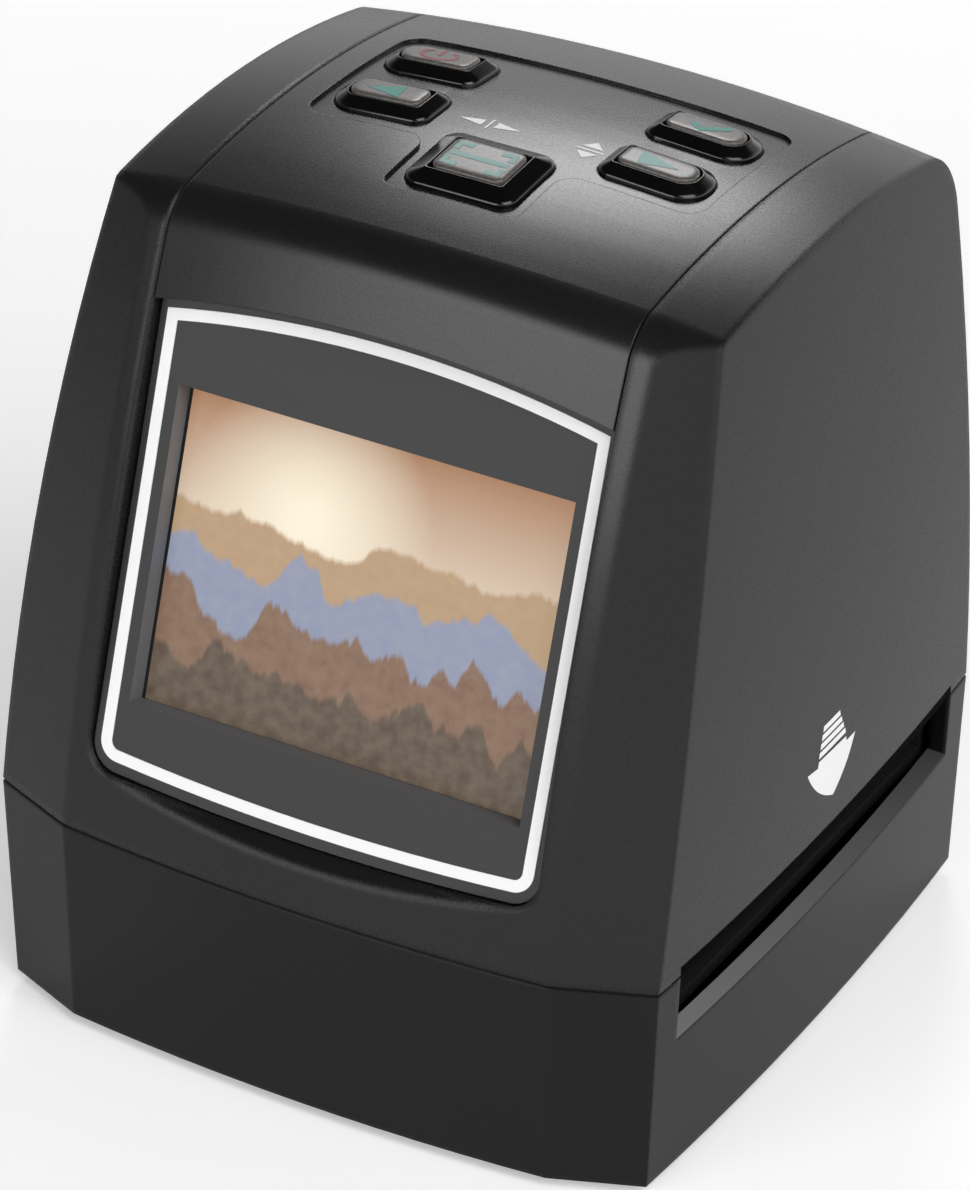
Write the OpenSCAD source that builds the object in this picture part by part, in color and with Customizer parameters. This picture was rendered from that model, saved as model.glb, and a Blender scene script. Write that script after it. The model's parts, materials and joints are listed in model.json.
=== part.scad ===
// Desktop film negative scanner: a sloping screen on the front, five keys on
// the crown, and a film slot that runs through both sides under the parting.
// X runs across the front, -Y is the front, Z is up and Z = 0 is the table.

/* [Body] */
// Width across the widest point of the sides
body_w = 87; // [86:0.5:89]
// Depth from the middle of the front to the back
body_d = 82; // [81.5:0.5:84]
// Height of the crown above the table
body_h = 102; // [101.5:0.25:102.5]
// Height of the joint between the lower and the upper housing
part_z = 27.6; // [27.2:0.1:28]
// Gap under the body that the rubber feet hold open
foot_gap = 1.4; // [1.2:0.1:1.8]
// Wall thickness of the mouldings
wall = 2.2; // [2:0.1:2.4]

/* [Screen] */
// Lean of the screen panel from upright, in degrees
bezel_lean = 18; // [17.5:0.25:18.5]
// Width of the screen window
window_w = 49.8; // [49.4:0.1:50.2]
// Height of the screen window along the slope
window_h = 36.8; // [36.4:0.1:37]
// Depth of the screen below the face of its panel
screen_recess = 2.7; // [2.5:0.1:2.9]

/* [Keys] */
// Travel of a key
key_travel = 0.7; // [0.4:0.1:0.7]
// Width of the four small keys' surrounds
key_w = 12.8; // [12.4:0.2:13]
// Depth of the four small keys' surrounds
key_d = 7.6; // [7.4:0.1:7.8]
// Width of the scan key's surround
scan_w = 14; // [13.6:0.2:14.4]
// Depth of the scan key's surround
scan_d = 11.6; // [11.2:0.2:12]

/* [Film path] */
// Height of the film slot
slot_h = 8.6; // [8:0.1:8.8]
// Distance of the slot from the front
slot_front = 10.7; // [10.5:0.1:11]
// Distance of the slot from the back
slot_back = 4.8; // [4.7:0.1:5]

/* [Hidden] */
$fn = 96;
smooth = 1440;                       // for the body's large radii
far = 60;                            // beyond the body on every side

// ---- Form of the upper housing ------------------------------------------
half_w = body_w / 2;
front_y = -body_d / 2;
back_y = body_d / 2;
plan_r = 290;                        // radius of the front in plan
front_r = 315;                       // side view radius of the front
front_cz = -27.5;                    // height of that radius' centre
side_r = 490;                        // radius of the bulged sides, seen from the front
side_plan_r = 520;                   // and in plan
side_cz = 23.8;                      // height where they are widest
top_r = 135;                         // side view radius of the crown
top_y = 7;                           // its highest point
cross_r = 275;                       // the crown's radius across
shoulder_r = 6.5;                    // where front and crown meet
rear_r = 8;                          // where crown and back meet
crown_tilt = 32;                     // lean of the axis that crowns front and shoulder
crown_r = 234;                       // highest point to that axis
rear_crown_r = 250;                  // highest point to the axis of the rear round
crown_span = 36;                     // sector turned about either axis, in degrees
side_span = 20;                      // sector of a side
front_c = [sqrt(pow(front_r, 2) - pow(part_z - front_cz, 2)) + front_y, front_cz];
top_c = [top_y, body_h - top_r];

// ---- Corner facets ---------------------------------------------------------
facet_turn = 22;                     // their turn in plan
facet_r = 335;                       // their side view radius
facet_plan_r = 1000;                 // and their radius in plan
facet_span = 12;
fold_x = window_w / 2 + 6.5;         // where they start, at the parting
fold_y = front_y + plan_r - sqrt(pow(plan_r, 2) - pow(fold_x, 2));
facet_c = fold_x * sin(facet_turn) - fold_y * cos(facet_turn);
facet_w = (fold_x + 5.4) * cos(facet_turn) + (fold_y + 2.2) * sin(facet_turn);
facet_front = [sqrt(pow(facet_r, 2) - pow(part_z - front_cz, 2)) - facet_c, front_cz];

// ---- Draft of the lower housing --------------------------------------------
base_h = part_z - foot_gap;
front_draft = 0.5 / base_h;
side_draft = 1 / base_h;
facet_draft = 0.6 / base_h;

// ---- Screen panel, in its own plane: v runs up the slope ------------------
upper_h = body_h - part_z;
bezel_z = part_z + 0.4485 * upper_h; // centre of the window
front_at = front_c[0] - sqrt(pow(front_r, 2) - pow(bezel_z - front_cz, 2));
bezel_at = [0, front_at + 3.86, bezel_z];
low_margin = 0.129 * upper_h;        // from the window to the panel's edges
top_margin = 0.1828 * upper_h;
bezel_t = 1.8;
top_arc = 143;                       // arcs of the panel's top and bottom edges
bottom_arc = 290;
opening_hw = window_w / 2 + 3.9;     // half width of the opening in the housing
bezel_hw = opening_hw - 0.25;
bezel_bottom = -window_h / 2 - low_margin;
bezel_top = window_h / 2 + top_margin;
bezel_corner = 3.5;
trim_hw = window_w / 2 + 2.8;
trim_bottom = bezel_bottom + 1.25;
trim_top = bezel_top - 2.8;
trim_corner = 2.5;
trim_w = 1.4;
trim_depth = 0.6;
trim_rise = 0.12;
seat_t = 1.6;                        // ledge behind the panel
lip_v = bezel_top - 1.55;            // lower edge of the top cover
bevel_turn = 52;                     // slope of the edge under the panel
relief = 1;                          // panel thinned where the cover passes over it
lcd_size = [window_w + 2.6, window_h + 5.2, 2.2];
lcd_frame_t = 1;
seat_w = opening_hw - lcd_size[0] / 2 - 0.6;   // that ledge's width, clear of the screen

// ---- Top cover and rear panel ------------------------------------------------
seam_gap = 0.2;
cover_hw = opening_hw - seam_gap;
rear_joint_z = 86;                   // joint between cover and rear panel
ledge_t = 1.6;                       // ledges of the housing that carry them
ledge_in = 2.4;
ledge_out = 2.2;

// ---- Keys --------------------------------------------------------------------
panel_depth = 0.4;                   // T-shaped recess in the cover
arm_w = 49.6;
arm_front = 2.3;
arm_back = 26.4;
arm_r = 2.5;
stem_w = 17;
stem_front = -8.3;
stem_r = 1.5;
key_x = 17;
key_rear_y = 19.3;
key_front_y = 8.4;
scan_y = -1.2;
rim_h = 1;                           // surround above the recess floor
rim_slope = 0.55;
cap_h = 1.55;                        // cap above the recess floor
rim_w = 1.2;                         // surround wall at its foot
key_gap = 0.15;                      // cap in its surround
plate_t = 1.2;                       // plate of the surrounds under the cover
flange = 0.9;                        // a key's flange past its cap
flange_t = 1;
flange_drop = 0.4;
board_t = 1.6;
switch_h = 3;
plunger_h = 0.7;
switch_gap = key_travel + 0.15;
key_board_top = body_h - 11.1;
switch_top = key_board_top + switch_h + plunger_h;

// ---- Film path -------------------------------------------------------------
slot_z = part_z - slot_h;
slot_y0 = front_y + slot_front;
slot_y1 = back_y - slot_back;
track_hw = half_w - 5.1;
track_t = 1.8;
guide_t = 1.2;
gate_t = 1.8;
optic_y = (slot_y0 + slot_y1) / 2;   // optical axis

// ---- Fixings ---------------------------------------------------------------
boss_at = [22, front_y + 5.8];
boss_r = 3.6;
upper_boss_r = 3.2;
screw_r = 1.25;
head_r = 2.5;
head_h = 2;
screw_seat = part_z - 10.2;
pilot = 5;                           // depth of the screw's hole in the upper boss
screw_len = part_z - screw_seat - head_h + pilot - 0.6;
foot_at = [33, 32];
foot_r = 3.5;
foot_pocket = 0.5;
hook_x = 34;
hook_w = 6;
tongue_t = 1;
tongue_h = 1.8;
tongue_gap = 0.5;                    // at the front, where the wall above leans in
rear_gap = 0.15;                     // at the back, which is upright

// Crossing of two circles, on the side that s picks
function crossing(c1, r1, c2, r2, s) =
  let (d = norm(c2 - c1), a = (r1 * r1 - r2 * r2 + d * d) / (2 * d),
       h = sqrt(r1 * r1 - a * a), e = (c2 - c1) / d)
  c1 + a * e + s * h * [-e[1], e[0]];

// What a round of radius r takes off a corner: c is its centre, u1 and u2
// point from there to where it runs out
module round_off(c, u1, u2, r) {
  difference() {
    polygon([c, c + u1 * (r + 6), c + (u1 + u2) * (r + 12), c + u2 * (r + 6)]);
    translate(c) circle(r = r, $fn = 360);
  }
}

// Side view of front, shoulder and crown; t is the inset
module front_view(t) {
  c = crossing(front_c, front_r - shoulder_r, top_c, top_r - shoulder_r, -1);
  difference() {
    intersection() {
      translate(front_c) circle(r = front_r - t, $fn = smooth);
      translate(top_c) circle(r = top_r - t, $fn = smooth);
      translate([-far, 15]) square([2 * far, 100]);
    }
    round_off(c, (c - front_c) / norm(c - front_c), (c - top_c) / norm(c - top_c), shoulder_r - t);
  }
}

// Side view of crown, rear round and back
module rear_view(t) {
  r = top_r + 0.1;
  c = [back_y - rear_r, top_c[1] + sqrt(pow(r - rear_r, 2) - pow(back_y - rear_r - top_y, 2))];
  difference() {
    intersection() {
      translate(top_c) circle(r = r - t, $fn = smooth);
      translate([-far, 0]) square([far + back_y - t, 120]);
    }
    round_off(c, (c - top_c) / norm(c - top_c), [1, 0], rear_r - t);
  }
}

// Turns a side view about an axis that leans by tilt and lies r under the crown
module turned(tilt, r) {
  n = [-sin(tilt), cos(tilt)];
  a = [top_y, body_h] - r * n;
  translate([0, a[0], a[1]])
    rotate([tilt - 90, 0, 0])
    rotate([0, 0, -90 - crown_span / 2]) rotate_extrude(angle = crown_span, $fn = smooth)
    intersection() {
      translate([100, -120]) square([170, 240]);
      multmatrix([[n[0], n[1], 0, 0], [n[1], -n[0], 0, 0], [0, 0, 1, 0], [0, 0, 0, 1]])
        translate(-a) children();
    }
}

// One bulged side
module side_bulge(s, t) {
  mirror([s, 0, 0]) translate([half_w - side_plan_r, 0, 0])
    rotate([0, 0, -side_span / 2]) rotate_extrude(angle = side_span, $fn = smooth)
    intersection() {
      translate([side_plan_r - side_r, side_cz]) circle(r = side_r - t, $fn = smooth);
      translate([side_plan_r - 2 * far, 0]) square([3 * far, 120]);
    }
}

// A profile in the plane square to a corner facet, drawn along the facet
module along_facet() {
  rotate([0, 0, 90 + facet_turn]) rotate([90, 0, 0])
    linear_extrude(2 * far + 60, center = true) children();
}

// Big round that a corner facet belongs to
module facet_form(s, t) {
  mirror([s, 0, 0]) rotate([0, 0, facet_turn - 90]) translate([facet_c - facet_plan_r, facet_w, 0])
    rotate([0, 0, -facet_span / 2]) rotate_extrude(angle = facet_span, $fn = 3 * smooth)
    intersection() {
      translate([facet_plan_r - facet_c - facet_front[0], front_cz]) circle(r = facet_r - t, $fn = smooth);
      translate([facet_plan_r - 3 * far, 0]) square([4 * far, 120]);
    }
}

// Upper body inset by t, from height z0 up
module upper_form(t, z0) {
  intersection() {
    turned(crown_tilt, crown_r) front_view(t);
    turned(0, rear_crown_r) rear_view(t);
    side_bulge(0, t);
    side_bulge(1, t);
    facet_form(0, t);
    facet_form(1, t);
    translate([-far, -far, z0]) cube([2 * far, 2 * far, 100]);
  }
}

// One side of the lower body, with the corner facet in front of it
module lower_side(s, t, z0, z1) {
  below = part_z - z0;
  above = z1 - part_z;
  r = side_plan_r - t;
  c = -facet_c + t;
  mirror([s, 0, 0]) intersection() {
    translate([half_w - side_plan_r, 0, z0])
      cylinder(h = z1 - z0, r1 = r - below * side_draft, r2 = r + above * side_draft, $fn = smooth);
    along_facet()
      polygon([[c + below * facet_draft, z0], [2 * far, z0], [2 * far, z1], [c - above * facet_draft, z1]]);
  }
}

// Lower body inset by t, between heights z0 and z1
module lower_form(t, z0, z1) {
  r = plan_r - t;
  intersection() {
    translate([0, front_y + plan_r, z0])
      cylinder(h = z1 - z0, r1 = r - (part_z - z0) * front_draft, r2 = r + (z1 - part_z) * front_draft, $fn = smooth);
    lower_side(0, t, z0, z1);
    lower_side(1, t, z0, z1);
    translate([-far, -far, z0]) cube([2 * far, far + back_y - t, z1 - z0]);
  }
}

// ---- Shared outlines --------------------------------------------------------
// A box centred on x and y
module block(w, d, h) {
  translate([-w / 2, -d / 2, 0]) cube([w, d, h]);
}

// Rectangle with corner radius ra on its left and rb on its right
module rounded(w, d, ra, rb) {
  translate([-w / 2 + ra, -d / 2]) square([w - ra - rb, d]);
  translate([-w / 2, -d / 2 + ra]) square([ra, d - 2 * ra]);
  translate([w / 2 - rb, -d / 2 + rb]) square([rb, d - 2 * rb]);
  for (s = [-1, 1]) {
    translate([-w / 2 + ra, s * (d / 2 - ra)]) circle(r = ra);
    translate([w / 2 - rb, s * (d / 2 - rb)]) circle(r = rb);
  }
}

// The same outline as a block h high, its top edge sloped by cx over cz
module pad(w, d, ra, rb, h, cx, cz) {
  linear_extrude(h - cz) rounded(w, d, ra, rb);
  linear_extrude(h) rounded(w - 2 * cx, d - 2 * cx, ra - cx, rb - cx);
  translate([0, 0, h - cz]) {
    for (s = [-1, 1]) {
      translate([-w / 2 + ra, s * (d / 2 - ra), 0]) cylinder(h = cz, r1 = ra, r2 = ra - cx);
      translate([w / 2 - rb, s * (d / 2 - rb), 0]) cylinder(h = cz, r1 = rb, r2 = rb - cx);
    }
    translate([-w / 2 + ra, 0, 0]) rotate([90, 0, 90]) linear_extrude(w - ra - rb)
      polygon([[-d / 2, 0], [d / 2, 0], [d / 2 - cx, cz], [cx - d / 2, cz]]);
    rotate([90, 0, 0]) linear_extrude(d - 2 * ra, center = true)
      polygon([[-w / 2, 0], [-w / 2 + ra, 0], [-w / 2 + ra, cz], [-w / 2 + cx, cz]]);
    rotate([90, 0, 0]) linear_extrude(d - 2 * rb, center = true)
      polygon([[w / 2, 0], [w / 2 - rb, 0], [w / 2 - rb, cz], [w / 2 - cx, cz]]);
  }
}

// Places a drawing in the plane of the screen panel, n in front of its face
module on_bezel(n) {
  translate(bezel_at) rotate([90 - bezel_lean, 0, 0]) translate([0, 0, n]) children();
}

// Outline of the panel and its trim: arched top and bottom, rounded below
module screen_outline(hw, top, bottom, r) {
  arc_y = bottom + bottom_arc;
  c = [hw - r, arc_y - sqrt(pow(bottom_arc - r, 2) - pow(hw - r, 2))];
  down = (c - [0, arc_y]) / norm(c - [0, arc_y]);
  difference() {
    intersection() {
      translate([-hw, -far]) square([2 * hw, 2 * far]);
      translate([0, top - top_arc]) circle(r = top_arc, $fn = smooth);
      translate([0, arc_y]) circle(r = bottom_arc, $fn = smooth);
    }
    for (s = [0, 1]) mirror([s, 0]) round_off(c, [1, 0], down, r);
  }
}

// The ring of the white trim, made g wider on both sides
module trim_ring(g) {
  w = trim_w + g;
  difference() {
    screen_outline(trim_hw + g, trim_top + g, trim_bottom - g, trim_corner + g);
    screen_outline(trim_hw - w + g, trim_top - w + g, trim_bottom + w - g, trim_corner - w + g);
  }
}

// Everything above the lower edge of the cover, as drawn in the panel's plane
module above_lip(g) {
  difference() {
    translate([-far, 0]) square([2 * far, 3 * far]);
    translate([0, lip_v + g - top_arc]) circle(r = top_arc, $fn = smooth);
  }
}

// The strip between the two seams, widened by g: cover above, panel behind
module strip(hw) {
  translate([-hw, -far, part_z - 1]) cube([2 * hw, 2 * far, 2 * far]);
}

// The part of that strip that the top cover fills, with g of room
module cover_zone(g) {
  difference() {
    intersection() {
      strip(cover_hw + g);
      on_bezel(-3 * far) linear_extrude(5 * far) above_lip(-g);
    }
    translate([-far, 0, 0]) cube([2 * far, far, rear_joint_z - g]);
  }
}

// The part that the rear panel fills
module rear_zone(g) {
  translate([-cover_hw - g, back_y - wall - 1, part_z - 1])
    cube([2 * (cover_hw + g), far, rear_joint_z - seam_gap + g - part_z + 1]);
}

// ---- Keys: where they are ----------------------------------------------------
function crown_z(p) =
  body_h - top_r + sqrt(pow(top_r, 2) - pow(p[1] - top_y, 2)) - cross_r + sqrt(pow(cross_r, 2) - pow(p[0], 2));
function floor_z(p) = crown_z(p) - panel_depth;

// Places a key's drawing on the recess floor, square to the crown
module at_key(p) {
  translate([p[0], p[1], floor_z(p)])
    rotate([-asin((p[1] - top_y) / top_r), asin(p[0] / cross_r), 0]) children();
}

// Outline of the T-shaped recess
module key_panel() {
  arm_d = arm_back - arm_front;
  translate([0, (arm_front + arm_back) / 2]) rounded(arm_w, arm_d, arm_r, arm_r);
  translate([0, (stem_front + arm_back) / 2]) rounded(stem_w, arm_back - stem_front, stem_r, stem_r);
  for (s = [0, 1]) mirror([s, 0]) difference() {
    translate([stem_w / 2 - 0.1, arm_front - arm_r]) square([arm_r + 0.1, arm_r + 0.1]);
    translate([stem_w / 2 + arm_r, arm_front - arm_r]) circle(r = arm_r);
  }
}

// All five keys: place, outline width and depth, corner radii, mirrored or not
small_outer = key_d / 2 - 0.4;
small_inner = 2;
scan_corner = 2.2;
KEYS = [
  [[-key_x, key_rear_y], key_w, key_d, small_outer, small_inner],
  [[-key_x, key_front_y], key_w, key_d, small_outer, small_inner],
  [[key_x, key_rear_y], key_w, key_d, small_inner, small_outer],
  [[key_x, key_front_y], key_w, key_d, small_inner, small_outer],
  [[0, scan_y], scan_w, scan_d, scan_corner, scan_corner]];

// A key's outline as a straight block from z0 to z1, inset by e
module key_block(k, e, z0, z1) {
  translate([0, 0, z0]) linear_extrude(z1 - z0) rounded(k[1] - 2 * e, k[2] - 2 * e, k[3] - e, k[4] - e);
}

plate_z = -wall + panel_depth - plate_t;      // underside of the surrounds' plate
flange_z = plate_z - flange_drop - flange_t;

module key(k) {
  p = k[0];
  post = floor_z(p) + flange_z - switch_top - switch_gap;
  e = rim_w + key_gap;
  color("rosybrown") at_key(p) {
    translate([0, 0, flange_z + flange_t - 0.2])
      pad(k[1] - 2 * e, k[2] - 2 * e, k[3] - e, k[4] - e, cap_h - flange_z - flange_t + 0.2, 0.5, 0.45);
    key_block(k, e - flange, flange_z, flange_z + flange_t);
    translate([0, 0, flange_z - post]) cylinder(h = post + 0.2, r = 1.4);
  }
}

module power_key() { key(KEYS[0]); }
module left_key() { key(KEYS[1]); }
module ok_key() { key(KEYS[2]); }
module right_key() { key(KEYS[3]); }
module scan_key() { key(KEYS[4]); }

// Surrounds of all five keys on one plate under the cover
module key_surround() {
  plate_hw = arm_w / 2 + 1.2;
  plate_front = stem_front - 0.7;
  plate_back = arm_back + 1.1;
  peg_at = [arm_w / 2 - 2.2, -5, 23.5];
  color("black") difference() {
    union() {
      difference() {
        intersection() {
          upper_form(wall, part_z);
          translate([-plate_hw, plate_front, key_board_top]) cube([2 * plate_hw, plate_back - plate_front, far]);
        }
        upper_form(wall + plate_t, part_z - 1);
      }
      for (k = KEYS) at_key(k[0]) translate([0, 0, plate_z + 0.3])
        pad(k[1], k[2], k[3], k[4], rim_h - plate_z - 0.3, rim_slope, rim_slope);
      for (x = [-peg_at[0], peg_at[0]], y = [peg_at[1], peg_at[2]])
        translate([x, y, key_board_top]) cylinder(h = floor_z([x, y]) - wall - key_board_top, r = 1.5);
    }
    for (k = KEYS) at_key(k[0]) key_block(k, rim_w, plate_z - 2, rim_h + 1);
  }
}

module key_board() {
  color("darkgreen") translate([0, 9.25, key_board_top - board_t]) block(49.5, 34.5, board_t);
}

module key_switches() {
  color("gray") for (k = KEYS) translate([k[0][0], k[0][1], key_board_top]) {
    block(6, 6, switch_h);
    cylinder(h = switch_h + plunger_h, r = 1.7);
  }
}

// ---- Housing --------------------------------------------------------------
// Opening for the screen panel, from depth n outwards
module panel_opening(n, inset) {
  on_bezel(n) linear_extrude(20)
    screen_outline(opening_hw - inset, bezel_top + 0.3 - inset, bezel_bottom - 0.25 + inset, bezel_corner + 0.25 - inset);
}

// Sloped edge of the housing under the panel
module panel_bevel() {
  on_bezel(0) translate([0, bezel_bottom, 0]) rotate([bevel_turn, 0, 0]) translate([0, -bezel_bottom, 0])
    linear_extrude(6) screen_outline(opening_hw, bezel_top, bezel_bottom - 0.25, bezel_corner + 0.25);
}

// Box section that carries the screen panel behind its opening
module panel_well() {
  grow = wall;
  difference() {
    intersection() {
      upper_form(wall / 2, part_z);
      on_bezel(-bezel_t - seat_t) linear_extrude(12)
        screen_outline(opening_hw + grow, bezel_top + grow, bezel_bottom - grow, bezel_corner + grow);
    }
    difference() {
      cover_zone(seam_gap);
      upper_form(wall + 0.1, part_z - 1);
    }
    panel_opening(-bezel_t - seat_t - 1, seat_w);
  }
}

// Ledges inside the housing that the cover and the rear panel lie on
module ledges() {
  bar_z = part_z + 2.8;
  difference() {
    intersection() {
      upper_form(wall, part_z);
      union() {
        for (s = [0, 1]) mirror([s, 0, 0])
          translate([opening_hw - ledge_in, -far, bar_z]) cube([ledge_in + ledge_out, 2 * far, 2 * far]);
        translate([-opening_hw, back_y - 8, bar_z]) cube([2 * opening_hw, 8, 3.6]);
        translate([-opening_hw, back_y - 8, rear_joint_z - 4]) cube([2 * opening_hw, 8, 8]);
      }
    }
    upper_form(wall + ledge_t, part_z - 1);
    translate([-far, -far, 0]) cube([2 * far, far, bezel_at[2]]);
    on_bezel(-20) translate([-far, -far]) linear_extrude(40) square([2 * far, far + bezel_top + 0.5]);
  }
}

module upper_housing() {
  hook_z = part_z + tongue_h;
  color("dimgray") difference() {
    union() {
      difference() {
        upper_form(0, part_z);
        upper_form(wall, part_z - 1);
        cover_zone(seam_gap);
        rear_zone(seam_gap);
      }
      panel_well();
      ledges();
      for (s = [-1, 1]) translate([s * boss_at[0], boss_at[1], part_z]) cylinder(h = pilot + 0.8, r = upper_boss_r);
    }
    panel_opening(-bezel_t, 0);
    panel_bevel();
    for (s = [-1, 1]) {
      translate([s * boss_at[0], boss_at[1], part_z - 1]) cylinder(h = pilot + 1, r = screw_r + 0.05);
      translate([s * hook_x - hook_w / 2 - 0.3, back_y - wall - 1, hook_z - 0.2]) cube([hook_w + 0.6, 2, 1.9]);
    }
  }
}

module top_cover() {
  color("dimgray") difference() {
    intersection() {
      upper_form(0, part_z);
      cover_zone(0);
    }
    upper_form(wall, part_z - 1);
    difference() {
      translate([0, 0, key_board_top]) linear_extrude(far) key_panel();
      upper_form(panel_depth, part_z);
    }
    for (k = KEYS) at_key(k[0]) key_block(k, -0.1, -wall - 1, 3);
  }
}

// Places of the connectors on the main board
main_board_z = 66;
usb_x = -16;
av_x = -2;
sd_x = 10;
usb_size = [7.7, 9.2, 4];
av_size = [8, 13, 6];
av_r = 1.8;
av_nose_r = 3;
av_len = 14;
sd_size = [26, 28, 2.8];
socket_set = 0.8;                    // connectors behind the panel's outer face
av_z = main_board_z + board_t + av_size[2] / 2;

module rear_panel() {
  color("dimgray") difference() {
    intersection() {
      upper_form(0, part_z + 0.1);
      rear_zone(0);
    }
    upper_form(wall, part_z - 1);
    translate([usb_x, back_y - wall, main_board_z + board_t + usb_size[2] / 2])
      rotate([90, 0, 0]) linear_extrude(4 * wall, center = true) rounded(usb_size[0] + 0.6, usb_size[2] + 0.6, 0.8, 0.8);
    translate([av_x, back_y + 1, av_z]) rotate([90, 0, 0]) cylinder(h = 2 * wall, r = av_nose_r + 0.15);
    translate([sd_x, back_y - wall, main_board_z - sd_size[2] / 2])
      rotate([90, 0, 0]) linear_extrude(4 * wall, center = true) rounded(sd_size[0] + 0.6, sd_size[2] + 0.6, 0.8, 0.8);
  }
}

// Alignment tongue that stands up inside the upper housing, g behind its wall
module tongue(y, g) {
  difference() {
    intersection() {
      lower_form(wall - 0.3, part_z - 3, part_z + tongue_h);
      translate([-far, y, 0]) cube([2 * far, 9, far]);
    }
    lower_form(wall + g + tongue_t, part_z - 4, part_z + tongue_h + 1);
    difference() {
      translate([-far, -far, part_z]) cube([2 * far, 2 * far, 10]);
      lower_form(wall + g, part_z - 1, part_z + 11);
    }
    for (s = [-1, 1]) translate([s * boss_at[0], boss_at[1], part_z]) cylinder(h = 10, r = upper_boss_r + 0.3);
  }
}

// Hooks behind the rear tongue that catch in the upper housing
module hooks() {
  y = back_y - wall - rear_gap;
  z = part_z + tongue_h;
  for (x = [-hook_x, hook_x]) translate([x, y, z]) rotate([90, 0, 90])
    linear_extrude(hook_w, center = true)
    polygon([[-tongue_t, -5], [0, -5], [0, 0], [0.8, 0], [0.8, 0.5], [0, 1.5], [-tongue_t, 1.5]]);
}

module lower_housing() {
  floor_in = foot_gap + wall;
  color([0.17, 0.17, 0.18]) difference() {
    union() {
      difference() {
        lower_form(0, foot_gap, part_z);
        lower_form(wall, floor_in, part_z + 1);
      }
      tongue(front_y, tongue_gap);
      tongue(slot_y1 + 1, rear_gap);
      hooks();
      for (s = [-1, 1]) {
        translate([s * boss_at[0], boss_at[1], floor_in - 0.5]) cylinder(h = part_z - floor_in + 0.5, r = boss_r);
        for (y = [slot_y0 + 4.3, slot_y1 - 4.2])
          translate([s * (track_hw - 4.4), y, floor_in - 0.5]) cylinder(h = slot_z - track_t - floor_in + 0.5, r = 2.5);
        translate([s * 19 - 1, optic_y - 14, floor_in - 0.5]) cube([2, 28, lamp_board_z - floor_in + 0.5]);
      }
    }
    // Film slot, open to the parting
    translate([-far, slot_y0, slot_z]) cube([2 * far, slot_y1 - slot_y0, far]);
    // Shadow groove under the parting
    difference() {
      translate([-far, -far, part_z - 0.35]) cube([2 * far, 2 * far, 0.7]);
      lower_form(0.8, part_z - 1, part_z + 1);
    }
    for (s = [-1, 1]) {
      translate([s * boss_at[0], boss_at[1], 0]) cylinder(h = screw_seat + head_h, r = head_r + 0.2);
      translate([s * boss_at[0], boss_at[1], 0]) cylinder(h = far, r = screw_r + 0.35);
      for (y = [-foot_at[1], foot_at[1]])
        translate([s * foot_at[0], y, 0]) cylinder(h = foot_gap + foot_pocket, r = foot_r + 0.1);
    }
  }
}

module rubber_feet() {
  edge = 0.4;
  color("black") for (x = [-foot_at[0], foot_at[0]], y = [-foot_at[1], foot_at[1]]) translate([x, y, 0]) {
    cylinder(h = edge, r1 = foot_r - edge, r2 = foot_r);
    translate([0, 0, edge]) cylinder(h = foot_gap + foot_pocket - edge, r = foot_r);
  }
}

module base_screws() {
  slot = [3, 0.6, 1];
  color("silver") for (s = [-1, 1]) translate([s * boss_at[0], boss_at[1], screw_seat]) difference() {
    union() {
      cylinder(h = head_h, r = head_r);
      cylinder(h = head_h + screw_len, r = screw_r);
    }
    for (a = [0, 90]) rotate([0, 0, a]) translate([0, 0, -0.01]) block(slot[0], slot[1], slot[2]);
  }
}

// ---- Screen -----------------------------------------------------------------
module front_bezel() {
  collar = 1.5;
  color([0.27, 0.27, 0.27]) difference() {
    union() {
      on_bezel(-bezel_t) linear_extrude(bezel_t) screen_outline(bezel_hw, bezel_top, bezel_bottom, bezel_corner);
      on_bezel(-screen_recess) linear_extrude(screen_recess)
        rounded(window_w + 2 * collar, window_h + 2 * collar, 1, 1);
    }
    on_bezel(-screen_recess - 1) block(window_w, window_h, 2 * screen_recess);
    on_bezel(-trim_depth) linear_extrude(2) trim_ring(0);
    on_bezel(-relief) linear_extrude(2) above_lip(-0.15);
  }
}

module bezel_trim() {
  color("white") on_bezel(-trim_depth) linear_extrude(trim_depth + trim_rise) trim_ring(-0.03);
}

module lcd_panel() {
  color("slategray") on_bezel(-screen_recess - lcd_size[2]) block(lcd_size[0], lcd_size[1], lcd_size[2]);
}

module lcd_frame() {
  color("silver") on_bezel(-screen_recess - lcd_size[2] - lcd_frame_t) block(lcd_size[0], lcd_size[1], lcd_frame_t);
}

// ---- Film path and optics ---------------------------------------------------
window_size = [38, 28];
gate_size = [37, 25];
lamp_board_z = 5.4;
lamp_t = 1.6;
light_size = [44, 34];
light_wall = 1.5;
diffuser_t = 1.5;
tower_size = [44, 34, 20.6];
tower_wall = 2;
sensor_board_z = 58;
gate_top = part_z + gate_t;
tower_top = gate_top + tower_size[2];
barrel_r = 8;
barrel_bore = 6.6;

module film_track() {
  color([0.1, 0.1, 0.1]) difference() {
    translate([-track_hw, slot_y0 - 1.1, slot_z - track_t])
      cube([2 * track_hw, slot_y1 - slot_y0 + 2.3, part_z - slot_z + track_t]);
    translate([-far, slot_y0 + 0.1, slot_z]) cube([2 * far, slot_y1 - slot_y0 - 0.1, far]);
    translate([0, optic_y, 0]) block(window_size[0], window_size[1], far);
  }
}

module gate_plate() {
  color([0.12, 0.12, 0.12]) difference() {
    translate([-track_hw, slot_y0 - 1.1, part_z]) cube([2 * track_hw, slot_y1 - slot_y0 + 2.3, gate_t]);
    translate([0, optic_y, 0]) block(gate_size[0], gate_size[1], far);
  }
}

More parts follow.
